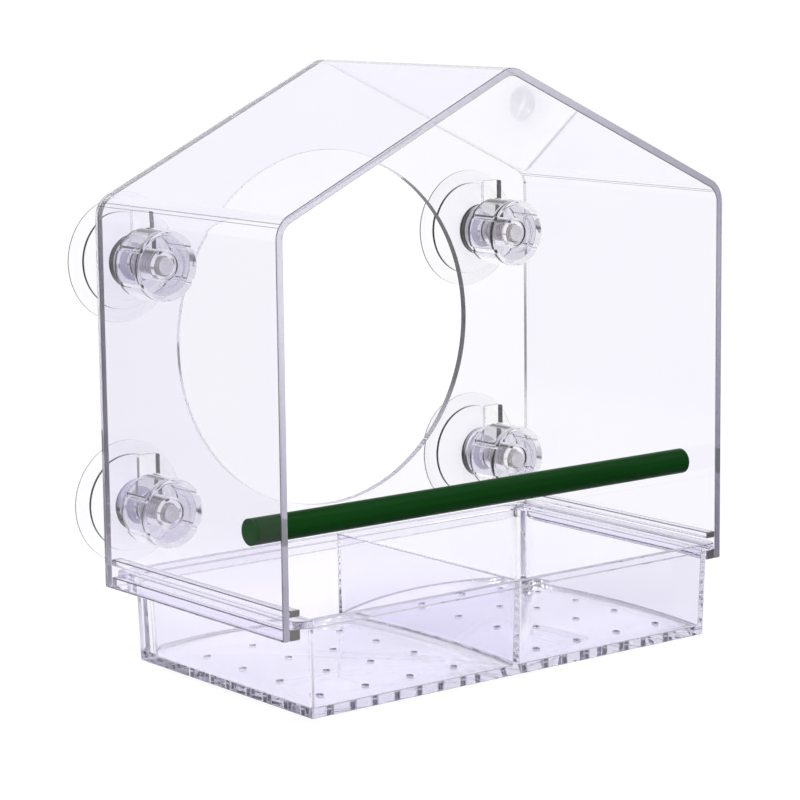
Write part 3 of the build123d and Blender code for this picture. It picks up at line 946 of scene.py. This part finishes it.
for corner, (x, z) in cup_places.items():
    stud_plastic, tree, shader, place, on_end, in_front = hardware_plastic(
        f"stud_plastic_{corner}", END_ROUGHNESS, THREAD_ROUGHNESS
    )
    # Painted shade on the thread in front of the panel.
    on_thread = maths(tree, "MULTIPLY", in_front, maths(tree, "SUBTRACT", 1.0, on_end))
    shade_over(tree, shader, on_thread, THREAD_PAINTED_SHADE)
    haze = maths(tree, "MULTIPLY", on_end, END_HAZE)
    haze = maths(tree, "ADD", haze, maths(tree, "MULTIPLY", on_thread, THREAD_HAZE))
    tree.links.new(maths(tree, "SUBTRACT", 1.0, haze), shader.inputs["Transmission Weight"])
    centred = {"Vector": place, "Location": (-x, 0, -z), "Scale": (1, 0, 1)}
    centred = add(tree, "ShaderNodeMapping", centred).outputs["Vector"]
    reach = add(tree, "ShaderNodeVectorMath", {0: centred}, operation="LENGTH").outputs["Value"]
    rings = maths(tree, "SINE", maths(tree, "MULTIPLY", reach, 2 * math.pi / RING_PITCH))
    rings = maths(tree, "MULTIPLY", rings, on_end)
    under = shader.inputs["Normal"].links[0].from_socket
    tree.links.new(relief(tree, rings, RING_DEPTH, under), shader.inputs["Normal"])
    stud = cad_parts[f"stud_{corner}"]
    if not stud.material_slots:
        stud.data.materials.append(stud_plastic)
    for material_slot in stud.material_slots:
        material_slot.material = stud_plastic


# Knobs: hollow clear mouldings that screw onto the studs, a round skirt with six grip
# grooves about a threaded hub, and a sunk ring in the face.
KNOB_RADIUS, KNOB_LENGTH, KNOB_WALL, KNOB_FACE = 0.014, 0.016, 0.002, 0.003
HUB_RADIUS, KNOB_ROUGHNESS = 0.0061, 0.0
RECESS_RADIUS, RECESS_DEPTH, MOUTH_RADIUS, MOUTH_DEPTH = 0.0082, 0.001, 0.0055, 0.003
GROOVE_COUNT, GROOVE_RADIUS, GROOVE_DEPTH = 6, 0.0013, 0.0011
FACE_ROUNDS, BORE_ROUNDS = [0.0003, 0.0009, 0.0003, 0.0002], [0.00015, 0.0002, 0.0002]
HOLLOW_ROUNDS = [0.0003, 0.0005, 0.0006, 0.0003]
KNOB_SEGMENTS, KNOB_STEPS = 132, 5
room_radius, room_top = KNOB_RADIUS - KNOB_WALL, KNOB_LENGTH - KNOB_FACE
recess_floor = KNOB_LENGTH - RECESS_DEPTH
knob_line = rounded_line(
    [
        (KNOB_RADIUS, 0),
        (KNOB_RADIUS, KNOB_LENGTH),
        (RECESS_RADIUS, KNOB_LENGTH),
        (RECESS_RADIUS, recess_floor),
        (MOUTH_RADIUS, recess_floor),
        (BORE_RADIUS, recess_floor - MOUTH_DEPTH),
        (BORE_RADIUS, 0),
        (HUB_RADIUS, 0),
        (HUB_RADIUS, room_top),
        (room_radius, room_top),
        (room_radius, 0),
    ],
    FACE_ROUNDS + BORE_ROUNDS + HOLLOW_ROUNDS,
    KNOB_STEPS,
    closed=True,
)
knob_blank = turned_bar([tuple(point) for point in knob_line], KNOB_SEGMENTS, Vector((0, 0, 1)))
groove_rule, given, piece = new_rule(
    "grip_grooves", [("Count", "NodeSocketInt"), ("Reach", "NodeSocketFloat")]
)
circle = add(
    groove_rule, "GeometryNodeMeshCircle", {"Vertices": given["Count"], "Radius": given["Reach"]}
)
punch(groove_rule, given, circle.outputs["Mesh"], piece["Piece"])
knob_plastic = hardware_plastic("knob_plastic", KNOB_ROUGHNESS, KNOB_ROUGHNESS)[0]
settle(knob_blank, knob_plastic)
knob_mesh = made_by(
    groove_rule,
    knob_blank,
    {
        "Count": GROOVE_COUNT,
        "Reach": KNOB_RADIUS + GROOVE_RADIUS - GROOVE_DEPTH,
        "Bar Radius": GROOVE_RADIUS,
        "Bar Length": BAR_REACH * KNOB_LENGTH,
        "Finish": knob_plastic,
    },
)
upright = Matrix.Rotation(math.radians(90), 4, "X") @ Matrix.Rotation(math.radians(90), 4, "Z")
knob_mesh.transform(upright)
settle(knob_mesh, knob_plastic)
for corner, (x, z) in cup_places.items():
    knob = f"knob_{corner}"
    turned_knob = knob_mesh.copy()
    turned_knob.transform(Matrix.Translation((x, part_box(knob)[1].y, z)))
    finish_piece(f"grip_{knob}", turned_knob, knob, knob)


# Studio: a plain pale floor under broad soft light, white all round the object where it
# is seen directly or through it. Only mirrored rays see a darker room in front, with dark
# sides, a white middle and a grey card on the floor to the left.
LIGHT_BOUNCES = 56
scene.view_settings.view_transform = "Standard"
scene.cycles.max_bounces = LIGHT_BOUNCES
scene.cycles.glossy_bounces = LIGHT_BOUNCES
scene.cycles.transmission_bounces = LIGHT_BOUNCES
scene.cycles.transparent_max_bounces = LIGHT_BOUNCES
ROOM_SHADE, WHITE = (0.06, 0.057, 0.048), (1, 1, 1)
FLOOR_REACH, FLOOR_DROP, FLOOR_PALE, FLOOR_LIFT = 60, 0.0004, (0.8, 0.8, 0.8), 0.3
FLOOR_SHADE_FROM, FLOOR_SHADE_TO = -0.08, -0.2
FLOOR_GLARE, GLARE_FROM, GLARE_TO = 0.35, -0.2, -0.3
GLARE_NEAR, GLARE_FAR = 1.2, 1.8
ROOM_SHADE_FROM, ROOM_SHADE_TO = 0.15, -0.35
CEILING_FROM, CEILING_TO, CEILING_LEVEL = 0.62, 0.8, 0.12
MIDDLE_SLANT, MIDDLE_FLOOR, MIDDLE_ROOM = 0.55, (0.0, 0.06), (-0.05, 0.12)
FAR_FROM, FAR_TO = -0.3, -0.45
WORLD_LIGHT = 0.5
LAMPS = (("key_light", 1.2, (0.7, 0.0, -0.6)), ("fill_light", 0.5, (0.8, 0.0, 1.1)))
LAMP_ANGLE = math.radians(40)


def seen_rays(tree):
    """Marks for rays that see the background and for those mirrored at least once."""
    path = add(tree, "ShaderNodeLightPath").outputs
    seen = maths(tree, "MAXIMUM", path["Is Camera Ray"], path["Is Glossy Ray"])
    seen = maths(tree, "MAXIMUM", seen, path["Is Transmission Ray"])
    mirrored = maths(tree, "GREATER_THAN", path["Glossy Depth"], HALF_BOUNCE)
    return seen, mirrored


def room_colour(tree, depth, mirrored, white_from, shade_to, middle):
    """White behind, and in front the room's shade on both sides, for mirrored rays alone."""
    behind = ramp(tree, depth, shade_to, white_from, 0.0, 1.0)
    lit = maths(tree, "MAXIMUM", behind, maths(tree, "SUBTRACT", 1.0, mirrored))
    return colours(tree, maths(tree, "MAXIMUM", lit, middle), ROOM_SHADE, WHITE)


def middle_of_room(tree, spot, limits):
    """How far a spot or a way lies in the white middle of the room, between its dark sides."""
    slant = maths(tree, "MULTIPLY", maths(tree, "ABSOLUTE", spot["Y"]), MIDDLE_SLANT)
    aside = maths(tree, "SUBTRACT", maths(tree, "ABSOLUTE", spot["X"]), slant)
    return ramp(tree, aside, *limits, 1.0, 0.0)


floor_mesh = bpy.data.meshes.new("floor")
corners = [(x * FLOOR_REACH, y * FLOOR_REACH) for x, y in ((-1, -1), (1, -1), (1, 1), (-1, 1))]
floor_mesh.from_pydata([(x, y, -FLOOR_DROP) for x, y in corners], [], [(0, 1, 2, 3)])
floor = bpy.data.objects.new("floor", floor_mesh)
scene.collection.objects.link(floor)
floor_paint = bpy.data.materials.new("floor_paint")
floor_paint.use_nodes = True
floor_paint.cycles.emission_sampling = "NONE"
tree = floor_paint.node_tree
tree.nodes.clear()
seen, mirrored = seen_rays(tree)
spot = along(tree, coordinate(tree, "Object"))
far = ramp(tree, spot["Y"], FAR_FROM, FAR_TO, 0.0, 1.0)
middle = maths(tree, "MULTIPLY", far, middle_of_room(tree, spot, MIDDLE_FLOOR))
colour = room_colour(tree, spot["Y"], mirrored, FLOOR_SHADE_FROM, FLOOR_SHADE_TO, middle)
once = add(tree, "ShaderNodeLightPath").outputs["Glossy Depth"]
once = maths(tree, "ABSOLUTE", maths(tree, "SUBTRACT", once, 1.0))
once = maths(tree, "LESS_THAN", once, HALF_BOUNCE)
shaded = maths(tree, "MULTIPLY", once, ramp(tree, spot["X"], GLARE_FROM, GLARE_TO, 0.0, 1.0))
near = ramp(tree, spot["Y"], GLARE_NEAR, GLARE_FAR, 1.0, 0.0)
shaded = maths(tree, "MULTIPLY", shaded, near)
glare = ramp(tree, shaded, 0.0, 1.0, 1.0, FLOOR_GLARE)
colour = colours(tree, glare, (0, 0, 0), colour)
paint = colours(tree, 1.0, colour, FLOOR_PALE, "MULTIPLY")
matt = add(tree, "ShaderNodeBsdfDiffuse", {"Color": paint})
glow = maths(tree, "MULTIPLY", seen, FLOOR_LIFT)
lift = add(tree, "ShaderNodeEmission", {"Color": colour, "Strength": glow})
both = add(tree, "ShaderNodeAddShader", {0: matt.outputs["BSDF"], 1: lift.outputs["Emission"]})
add(tree, "ShaderNodeOutputMaterial", {"Surface": both.outputs["Shader"]})
floor_mesh.materials.append(floor_paint)

world = bpy.data.worlds.new("studio")
scene.world = world
world.use_nodes = True
tree = world.node_tree
tree.nodes.clear()
seen, mirrored = seen_rays(tree)
way = along(tree, coordinate(tree, "Generated"))
middle = middle_of_room(tree, way, MIDDLE_ROOM)
colour = room_colour(tree, way["Y"], mirrored, ROOM_SHADE_FROM, ROOM_SHADE_TO, middle)
ceiling = ramp(tree, way["Z"], CEILING_FROM, CEILING_TO, 1.0, CEILING_LEVEL)
level = maths(tree, "MAXIMUM", ceiling, maths(tree, "SUBTRACT", 1.0, mirrored))
shown = add(tree, "ShaderNodeBackground", {"Color": colour, "Strength": level})
lit = add(tree, "ShaderNodeBackground", {"Color": (*WHITE, 1), "Strength": WORLD_LIGHT})
either = {0: seen, 1: lit.outputs["Background"], 2: shown.outputs["Background"]}
either = add(tree, "ShaderNodeMixShader", either)
add(tree, "ShaderNodeOutputWorld", {"Surface": either.outputs["Shader"]})

for label, strength, turn in LAMPS:
    lamp = bpy.data.lights.new(label, "SUN")
    lamp.energy = strength
    lamp.angle = LAMP_ANGLE
    lamp_object = bpy.data.objects.new(label, lamp)
    lamp_object.rotation_euler = turn
    scene.collection.objects.link(lamp_object)


# Camera: where the photograph was taken from, in front of the left wall and a little
# above the ridge.
YAW, PITCH, ROLL = 0.664105, 0.161115, -0.01155
CAMERA_PLACE = Vector((-0.692357, -0.950231, 0.281313))
LENS, SENSOR = 127.827, 36
ahead = Vector((math.sin(YAW) * math.cos(PITCH), math.cos(YAW) * math.cos(PITCH), -math.sin(PITCH)))
level_right = Vector((math.cos(YAW), -math.sin(YAW), 0))
level_up = level_right.cross(ahead)
right = level_right * math.cos(ROLL) + level_up * math.sin(ROLL)
up = level_up * math.cos(ROLL) - level_right * math.sin(ROLL)
lens = bpy.data.cameras.new("camera")
lens.lens = LENS
lens.sensor_width = SENSOR
camera = bpy.data.objects.new("camera", lens)
turned = Matrix((right, up, -ahead)).transposed().to_4x4()
camera.matrix_world = Matrix.Translation(CAMERA_PLACE) @ turned
scene.collection.objects.link(camera)
scene.camera = camera
